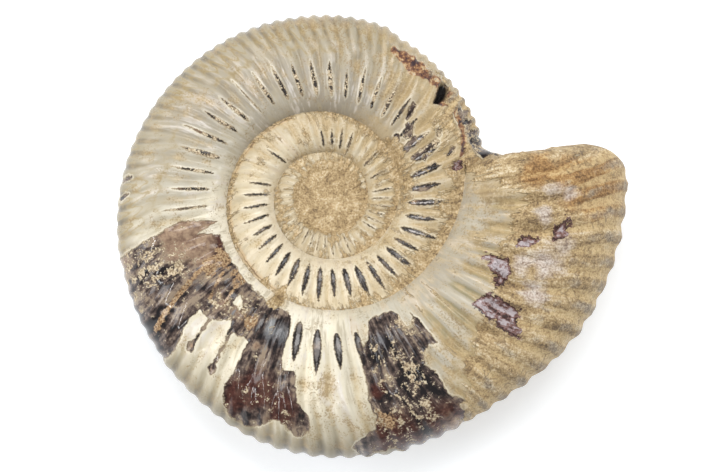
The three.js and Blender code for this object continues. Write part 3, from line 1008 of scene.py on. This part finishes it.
def add(kind, inputs, out=0, stops=(), **settings):
    """Adds a node, fills its inputs with values or outputs, and returns one of its outputs."""
    made = tree.nodes.new("ShaderNode" + kind)
    for name, value in settings.items():
        setattr(made, name, value)
    for key, value in inputs.items():
        if isinstance(value, bpy.types.NodeSocket):
            tree.links.new(value, made.inputs[key])
        else:
            made.inputs[key].default_value = value
    for i, (position, colour) in enumerate(stops):
        element = made.color_ramp.elements[i] if i < 2 else made.color_ramp.elements.new(position)
        element.position, element.color = position, linear(colour)
    return made.outputs[out]


socket = {name: add("Attribute", {}, out="Fac", attribute_name=name) for name in fields}
print("fields that the material reads:", len(socket))

# %% [markdown]
# ## Noise at real sizes
#
# Coordinates are in millimetres, so a noise scale is one over the size of its lumps. Streaks run
# along the ribs, so they use the rib count and the across value instead. Every field and noise
# keeps its name, and the tables further down call it by that.

# %% Coordinates and noises
metres = add("TexCoord", {}, out="Object")
place = add("VectorMath", {0: metres, "Scale": 1000}, operation="SCALE")
rib_map = add("SeparateXYZ", {0: add("UVMap", {}, uv_map="ribs")}).node.outputs
coil_map = add("SeparateXYZ", {0: add("UVMap", {}, uv_map="coil")}).node.outputs
along_rib = add("CombineXYZ", {0: rib_map[0], 1: coil_map[1]})
streak_place = add("VectorMath", {0: along_rib, 1: (4, 3, 0)}, operation="MULTIPLY")
pearl_place = add("VectorMath", {0: along_rib, 1: (1.1, 1.7, 0)}, operation="MULTIPLY")

for name, where, size, detail, roughness in (
    ("blotch", place, 14, 3, 0.5),
    ("patch", place, 5, 4, 0.6),
    ("lump", place, 1.8, 4, 0.65),
    ("speck", place, 0.55, 3, 0.6),
    ("raw_streak", streak_place, 1, 5, 0.6),
    ("pearl", pearl_place, 1, 3, 0.6),
):
    inputs = {"Vector": where, "Scale": 1 / size, "Detail": detail, "Roughness": roughness}
    socket[name] = add("TexNoise", inputs)
streak_off = add("Math", {0: socket["raw_streak"], 1: 0.5}, operation="SUBTRACT")
streak_inputs = {0: streak_off, 1: socket["streaky"], 2: 0.5}
socket["streak"] = add("Math", streak_inputs, operation="MULTIPLY_ADD")
lump_colour = socket["lump"].node.outputs["Color"]
lump_offset = add("VectorMath", {0: lump_colour, "Scale": 2.5}, operation="SCALE")
crack_place = add("VectorMath", {0: place, 1: lump_offset}, operation="ADD")
crack_inputs = {"Vector": crack_place, "Scale": 1 / 3.4}
socket["crack_gap"] = add("TexVoronoi", crack_inputs, feature="DISTANCE_TO_EDGE")
print("fields and noises:", len(socket))

# %% [markdown]
# ## How much of everything there is
#
# Each amount adds up fields and noises by weight, so that a mask can cut it at some level. Those
# that end in _mm are distances into an opening, a plate or a stone cover, made ragged by noise.
# A worn crest is an opening too: how far a rib count is from a whole number tells how far off the
# crest a point lies, against the half width of the opening.

# %% Amounts
for name, which, opening in (("inside_crest", 0, "spindle"), ("inside_fork", 1, "fork_open")):
    off_crest = add("Math", {0: rib_map[which], 1: 0.5}, operation="PINGPONG")
    socket[name] = add("Math", {0: socket[opening], 1: off_crest}, operation="SUBTRACT")

# Name: what the sum starts from, then what is added and its weight.
AMOUNTS = {
    "ragged": (-1.1, ("lump", 2.2)),
    "fine_ragged": (-0.6, ("speck", 1.2)),
    "crest_mm": ("fine_ragged", ("inside_crest", "rib_mm")),
    "window_mm": ("ragged", ("window", 1)),
    "fork_mm": ("ragged", ("inside_fork", 4)),
    "stone_fingers": (-14, ("streak", 14), ("pearl", 14)),
    "stone_mm": (-2.5, ("patch", 5), ("ragged", 1), ("stone_fingers", "fingers"), ("stone", 1)),
    "plate_mm": ("mauve", ("ragged", 2.4)),
    "band_mm": ("ragged", ("band", 1)),
    "seam_off": ("seam", ("ragged", 0.35)),
    "crumb": ("lump", ("patch", 0.4), ("speck", 0.4), ("groove", 0.1), ("crumbly", 0.24)),
    # Shell
    "warmth": (-0.65, ("cream", 1), ("blotch", 0.8), ("streak", 0.5)),
    "groove_tone": (-0.75, ("streak", 1.3), ("groove", 1)),
    "sheen": ("pearl", ("streak", 0.8)),
    "olive_tone": ("olive", ("streak", 1.2)),
    "tan_tone": (-0.7, ("patch", 1.4), ("groove", 0.35), ("streak", 0.9), ("tan", 1)),
    "fleck": ("speck", ("patch", 0.8), ("tan", 0.28)),
    "wavy_layers": ("layers", ("patch", 1.6)),
    # Calcite
    "bare_tone": (0, ("patch", 0.6), ("lump", 0.45), ("streak", 0.8), ("dull", 0.14)),
    "red": ("maroon", ("patch", 1.2)),
    "brown": ("dull", ("patch", 1.4)),
    "grey": ("steel", ("streak", 2)),
    "rusty": ("rust", ("streak", 1.6), ("lump", 1.6)),
    "core_mm": ("crest_mm", ("patch", 1.6)),
    # Sandstone and plates
    "grainy": (0, ("lump", 0.45), ("speck", 0.6)),
    "sand_tone": ("grainy", ("streak", 0.7), ("patch", 0.4)),
    "umber_tone": ("umber", ("patch", 1.6)),
    "ochre_tone": ("groove", ("outward", 2.2), ("patch", 0.8)),
    "grey_tone": ("outward", ("groove", -0.5), ("patch", 1.1)),
    "lilac_tone": ("lilac", ("patch", 1.5), ("streak", 1.5)),
    "crack_strength": (0, ("streaky", 0.6)),
    "plate_streak": ("lump", ("streak", 0.9)),
}
for name, (start, *terms) in AMOUNTS.items():
    total = socket.get(start, start)
    for source, weight in terms:
        inputs = {0: socket[source], 1: socket.get(weight, weight), 2: total}
        total = add("Math", inputs, operation="MULTIPLY_ADD")
    socket[name] = total

# The deeper of two openings counts. The seam and the growth layers reach to both sides.
for name, first, second, operation in (
    ("broken_mm", "fork_mm", "window_mm", "MAXIMUM"),
    ("open_mm", "crest_mm", "broken_mm", "MAXIMUM"),
    ("crest_over", "crest_mm", "broken_mm", "SUBTRACT"),
    ("seam_near", "seam_off", 0, "ABSOLUTE"),
    ("layer_off", "wavy_layers", 0.5, "PINGPONG"),
):
    inputs = {0: socket[first], 1: socket.get(second, second)}
    socket[name] = add("Math", inputs, operation=operation)
print("amounts:", len(AMOUNTS))

# %% [markdown]
# ## Where one finish gives way to another
#
# A mask rises from nothing to its full strength between two levels of an amount. Broken edges
# are sharp, so they rise straight and within a fraction of a millimetre. Stains in the shell
# fade, so they rise softly.

# %% Masks
# Name: what is cut, where it starts, where it is full, and how strong it is at most and at least.
SHARP_MASKS = {
    "opened": ("open_mm", -0.08, 0.12),
    "crest_only": ("crest_over", -0.1, 0.1),
    "stony": ("stone_mm", -0.25, 0.35),
    "plated": ("plate_mm", 0.2, 0.4),
    "banded": ("band_mm", -0.15, 0.15),
    "pitted": ("pit", -0.3, 0.5),
    "crumbs": ("crumb", 1.13, 1.17),
    "cracked": ("crack_gap", 0.09, 0.02),
    "crack_bits": ("patch", 0.5, 0.62, "crack_strength"),
    "flecked": ("fleck", 1.0, 1.1, 0.7),
    "reddened": ("red", 0.9, 1.3, 0.9),
    "dulled": ("brown", 1.0, 1.35),
    "rusted": ("rusty", 2.12, 2.3, 0.9),
    "worn_brown": ("dull", 0.3, 0.8),
    # pale middle of a worn crest: partly its own tone, partly a painted glint
    "pale_core_and_glint": ("core_mm", 1.2, 1.45, "core_glint_strength"),
    "sand_level": ("sand_tone", 0.84, 1.32),
    "umbered": ("umber_tone", 1.0, 1.4, 0.9),
    "ochred": ("ochre_tone", 2.9, 3.1, 0.7),
    "greyed": ("grey_tone", 1.38, 1.6, 0.85),
    # lilac stain, partly painted sheen along the ribs
    "lilac_stain_and_sheen": ("lilac_tone", 1.9, 2.5, 0.85),
    "plate_edge": ("mauve", 0.2, 1.6, 0.01, -0.2),
    "rim_strength": ("pearl", 0.42, 0.6, 0.7, 0.1),
    "brown_rim": ("open_mm", -0.28, -0.1, 0.75),
    "seam_width": ("patch", 0.42, 0.58, 0.4, 0.05),
    "seam_line": ("seam_near", "seam_width", 0.02, 0.8),
    "shell_rough": ("pearl", 0.35, 0.65, 0.14, 0.34),
}
SOFT_MASKS = {
    # darker grooves: a brown stain, and painted shade that deepens the ribs
    "groove_stain_and_shade": ("groove_tone", 0.2, 1.2, 0.7),
    # pale streaks along the ribs: pearl tone, and painted highlight
    "pearl_and_highlight": ("sheen", 0.94, 1.08, 0.7),
    "drab": ("sheen", 0.88, 0.74, 0.65),
    # painted shade, with some brown stain: darker towards the outer edge and round it
    "edge_shade": ("outward", 0.72, 1.03, 0.8),
    "rim_shade": ("outward", 0.91, 0.99, 0.85),
    "olived": ("olive_tone", 0.85, 1.25, 0.8),
    "tanned": ("tan_tone", 0.6, 1.4, 0.75),
    "near_stone": ("stone_mm", -5.0, 0.0, 0.6),
    "layer_tan": ("layer_off", 0.3, 0.05, 0.5),
    "layer_line": ("layer_off", 0.17, 0.02, 0.4),
    "arched_bits": ("blotch", 0.4, 0.55, "arched"),
    # steel-grey streaks: partly grey calcite, partly painted reflection
    "steel_and_reflection": ("grey", 1.6, 2.0, 0.85),
    "pale_rim": ("open_mm", -0.8, -0.3, "rim_strength"),
    "seam_glow": ("seam_near", 0.9, 0.1, 0.4),
}
for rise, masks in (("LINEAR", SHARP_MASKS), ("SMOOTHSTEP", SOFT_MASKS)):
    for name, (source, start, full, *strengths) in masks.items():
        most, least = strengths + [1, 0][len(strengths):]
        levels = [socket.get(level, level) for level in (start, full, least, most)]
        inputs = dict(enumerate([socket[source], *levels]))
        socket[name] = add("MapRange", inputs, interpolation_type=rise)

# Some show only where another mask lets them.
for name, first, second in (
    ("tan_arcs", "layer_tan", "arched_bits"),
    ("brown_arcs", "layer_line", "arched_bits"),
    ("crack_dark", "cracked", "crack_bits"),
    ("open_crumbs", "crumbs", "opened"),
    ("stone_relief", "grainy", "stony"),
):
    socket[name] = add("Math", {0: socket[first], 1: socket[second]}, operation="MULTIPLY")
plate_inputs = {0: socket["plate_streak"], 1: socket["plate_edge"]}
socket["plate_tone"] = add("Math", plate_inputs, operation="ADD")
print("masks:", len(SHARP_MASKS) + len(SOFT_MASKS))

# %% [markdown]
# ## The shell's colours
#
# The shell is cream where it is thick and grey-green where it is thin. It is darker in the grooves
# and towards the outer edge: partly a brown stain, and partly painted shade that deepens the ribs
# and darkens the edge where it turns from the light. Pale streaks along the ribs are partly pearl
# and partly painted highlight. Where it is ground at a slant, its growth layers show as brown
# arcs. A tone is a ramp of colours along an amount, and a coat is a colour laid over the rest by a
# mask.

# %% Tones and coats of the shell
TONES = {
    "shell_top": ("warmth", (0.0, "#9C9486"), (0.42, "#BEB8A8"), (0.95, "#E2DAC4"), (1.0, "#E9E2D0")),
    "shell_low": ("warmth", (0.1, "#8E8470"), (0.45, "#A99F88"), (0.95, "#CFC5A9")),
    # edge and rim: colours of the painted shade towards the outer edge, darker still in the grooves
    "edge": ("groove_tone", (0.15, "#AAA08A"), (0.9, "#786D55")),
    "rim": ("groove_tone", (0.15, "#847960"), (0.9, "#554B3A")),
    "tan": ("lump", (0.35, "#96805A"), (0.6, "#C6AE83")),
}
COATS = {
    "shell": (
        "shell_top", ("groove_stain_and_shade", "shell_low"), ("pearl_and_highlight", "#D8D4D0"), ("drab", "#ADA28A"),
        ("edge_shade", "edge"), ("shaded", "edge"), ("rim_shade", "rim"), ("olived", "#878062"),
        ("tanned", "tan"), ("flecked", "#85704F"), ("near_stone", "#BCA67E"),
        ("tan_arcs", "#AA976F"), ("brown_arcs", "#8A7955"),
    ),
}
print("coats on the shell:", len(COATS["shell"]) - 1)

# %% [markdown]
# ## The calcite's colours
#
# Bare calcite is black, steel-grey, maroon or dull brown, with rusty streaks and tan crumbs that
# stick to it; its steel-grey streaks along the ribs are partly painted reflection. A worn crest is
# a thinner opening, black at its edge and greyer inside, and here and there pale in its middle,
# partly a painted glint.

# %% Tones and coats of the calcite
TONES |= {
    "black": ("bare_tone", (0.78, "#232021"), (0.87, "#463B37"), (0.95, "#6C5E56"), (1.0, "#8F7F6D")),
    "maroon": ("lump", (0.35, "#33201D"), (0.55, "#512F28"), (0.7, "#6E5348")),
    "dull_brown": ("lump", (0.35, "#735C4E"), (0.6, "#A38B74")),
    "steel": ("patch", (0.38, "#4A494D"), (0.62, "#85888A")),
    "rust": ("speck", (0.36, "#5C4632"), (0.47, "#98795A"), (0.62, "#BFA580")),
    "crest": ("patch", (0.35, "#211E1C"), (0.55, "#45403D"), (0.68, "#75624F")),
    "crumb": ("speck", (0.4, "#85715A"), (0.5, "#B3A082"), (0.66, "#D3C6AC")),
}
COATS |= {
    "worn_crest": ("crest", ("worn_brown", "#86684F"), ("pale_core_and_glint", "#C9C3C0")),
    "calcite": (
        "black", ("reddened", "maroon"), ("dulled", "dull_brown"), ("steel_and_reflection", "steel"),
        ("rusted", "rust"), ("crest_only", "worn_crest"), ("crumbs", "crumb"),
    ),
}
print("coats on the calcite:", len(COATS["calcite"]) - 1)

# %% [markdown]
# ## The colours of stone, plates and the broken band
#
# The sandstone is sandy with darker grains, ochre in the outer grooves, grey on the outer crests
# and stained umber or lilac in places; the palest lilac along the ribs is partly painted sheen.
# Thin mauve plates of calcite stick up through it, darker at their edges and palest where a sheen
# is painted on them. The ragged step on the early part of the whorl is a mix of all these.

# %% Tones and coats of stone and plates
TONES |= {
    "sand": ("sand_level", (0.1, "#6A5742"), (0.4, "#A08862"), (0.6, "#BCA47D"), (0.85, "#D9CAAC")),
    "umber": ("sand_level", (0.15, "#6A4C2E"), (0.5, "#A27C4E"), (0.85, "#C9A872")),
    "ochre": ("grainy", (0.4, "#A5875C"), (0.56, "#CDB588")),
    "grey_sand": ("grainy", (0.38, "#645849"), (0.52, "#8F8271"), (0.64, "#B1A48F")),
    "lilac_sand": ("grainy", (0.4, "#9C8A80"), (0.5, "#BAACA2"), (0.6, "#D2C9C1")),
    # mauve plates: the palest stop is a painted lilac sheen
    "mauve": ("plate_tone", (0.8, "#3A2826"), (0.89, "#7C5A53"), (0.96, "#92807F"), (1.0, "#B3A8AA")),
    "band": (
        "lump", (0.36, "#3F3033"), (0.46, "#6B4A3C"), (0.54, "#9C7450"), (0.62, "#C9B28C"),
        (0.72, "#9D9692"),
    ),
}
COATS |= {
    "stone": (
        "sand", ("umbered", "umber"), ("ochred", "ochre"), ("greyed", "grey_sand"),
        ("lilac_stain_and_sheen", "lilac_sand"), ("crack_dark", "#5E4A35"),
    ),
    "plate": ("mauve", ("crack_dark", "#4A3632")),
}
print("coats on the stone:", len(COATS["stone"]) - 1)

# %% [markdown]
# ## Put the finishes together
#
# From the bottom up: shell, the pale and the brown line round each opening, the stained seam,
# bare calcite, the broken band, stone, plates, and the dark pit.

# %% Mix the colours
COATS["fossil"] = (
    "shell", ("pale_rim", "#D8D0BA"), ("brown_rim", "#857154"), ("seam_glow", "#C09A66"),
    ("seam_line", "#5E4630"), ("opened", "calcite"), ("banded", "band"), ("stony", "stone"),
    ("plated", "plate"), ("pitted", "#15110F"),
)
colour = {}
for name, (source, *stops) in TONES.items():
    colour[name] = add("ValToRGB", {0: socket[source]}, stops=stops)
for name, (base, *coats) in COATS.items():
    mixed = colour[base]
    for mask, coat in coats:
        laid_over = linear(coat) if coat.startswith("#") else colour[coat]
        inputs = {0: socket[mask], 6: mixed, 7: laid_over}
        mixed = add("Mix", inputs, out=2, data_type="RGBA")
    colour[name] = mixed
tree.links.new(colour["fossil"], surface.inputs["Base Color"])
print("tones:", len(TONES), "and finishes:", len(COATS))

# %% [markdown]
# ## Polish and fine relief
#
# Bare calcite takes a mirror polish, the shell a softer one, and sandstone stays matte. The same
# masks set the roughness. The finest relief is bump: the step down at an opening's edge, crumbs
# and grains that stand up, and faint streaks.

# %% Roughness and bump
crumbly_rough = add("Mix", {0: socket["crumbs"], 2: 0.06, 3: 0.6})
sand_rough = add("Mix", {0: socket["lilac_stain_and_sheen"], 2: 0.55, 3: 0.22})
rough = socket["shell_rough"]
for mask, roughness in (
    ("opened", crumbly_rough), ("banded", 0.35), ("stony", sand_rough), ("plated", 0.18),
):
    rough = add("Mix", {0: socket[mask], 2: rough, 3: roughness})
tree.links.new(rough, surface.inputs["Roughness"])

height = 0
for name, rise in (("opened", -0.25), ("open_crumbs", 0.3), ("stone_relief", 0.9), ("streak", 0.1)):
    height = add("Math", {0: socket[name], 1: rise, 2: height}, operation="MULTIPLY_ADD")
bumped = add("Bump", {"Height": height, "Distance": MM, "Strength": 0.8})
tree.links.new(bumped, surface.inputs["Normal"])
surface.inputs["Specular IOR Level"].default_value = 0.26
ammonite.data.materials.append(polished)
print("nodes in the material:", len(tree.nodes))

# %% [markdown]
# ## A white floor
#
# The photo shows the fossil on plain white with a faint shadow: white acrylic, lit a little from
# below. A large plane does for it. It belongs to the stage and not to the fossil.

# %% Floor and room
bpy.ops.object.select_all(action="DESELECT")
bpy.ops.mesh.primitive_plane_add(size=6, location=(0, 0, 0))
floor = bpy.context.object
floor.name = "studio_floor"
# White acrylic, lit a little from below: plain, with almost no shadow on it.
white = bpy.data.materials.new("white_acrylic")
white.use_nodes = True
for name, value in (
    ("Base Color", linear("#EEF1F4")), ("Roughness", 0.9),
    ("Emission Color", (1, 1, 1, 1)), ("Emission Strength", 0.3),
):
    white.node_tree.nodes["Principled BSDF"].inputs[name].default_value = value
floor.data.materials.append(white)

world = bpy.data.worlds.new("pale_room")
world.use_nodes = True
world.node_tree.nodes["Background"].inputs["Color"].default_value = (0.94, 0.97, 1, 1)
world.node_tree.nodes["Background"].inputs["Strength"].default_value = 0.27
bpy.context.scene.world = world
print("floor:", floor.name, "in the room:", world.name)

# %% [markdown]
# ## Lights
#
# The highlights on the dark calcite show a broad light above and behind, one on each side, and a
# narrow strip on the left that draws the bright lines. Area lights stand in for these softboxes.

# %% Softboxes
for name, at, (width, depth), watts in (
    ("top_window", (0.05, 0.55, 0.95), (0.9, 0.45), 9.6),
    ("left_wall", (-0.9, 0.0, 0.45), (0.5, 0.3), 3),
    ("left_strip", (-0.62, -0.25, 0.75), (1.2, 0.03), 4.5),
    ("right_wall", (0.9, 0.0, 0.45), (0.5, 0.3), 3),
):
    light = bpy.data.objects.new(name, bpy.data.lights.new(name, "AREA"))
    light.data.shape = "RECTANGLE"
    light.data.size, light.data.size_y, light.data.energy = width, depth, watts
    light.location = at
    towards_fossil = Vector((0, 0, 0.02)) - Vector(at)
    light.rotation_euler = towards_fossil.to_track_quat("-Z", "Y").to_euler()
    bpy.context.scene.collection.objects.link(light)
    print("light:", name, watts, "W")

# %% [markdown]
# ## Camera
#
# The photo was taken from almost straight above with a long lens. The camera stands at the eye
# that the stains were placed for, so that each shows where the photo has it.

# %% Camera
camera = bpy.data.objects.new("camera", bpy.data.cameras.new("camera"))
bpy.context.scene.collection.objects.link(camera)
camera.data.lens, camera.data.sensor_width = 100, 36
camera.location = EYE * MM
camera.rotation_euler = Vector(INWARDS).to_track_quat("-Z", "Y").to_euler()
bpy.context.scene.camera = camera
bpy.context.scene.view_settings.view_transform = "Standard"
print("the camera stands", round(camera.location.z, 3), "m above the table")

# %% [markdown]
# ## Sizes
#
# The bounds of the imported model and of the finished fossil are printed side by side further up,
# in millimetres.

# %% Sizes
print("the sizes are printed above")
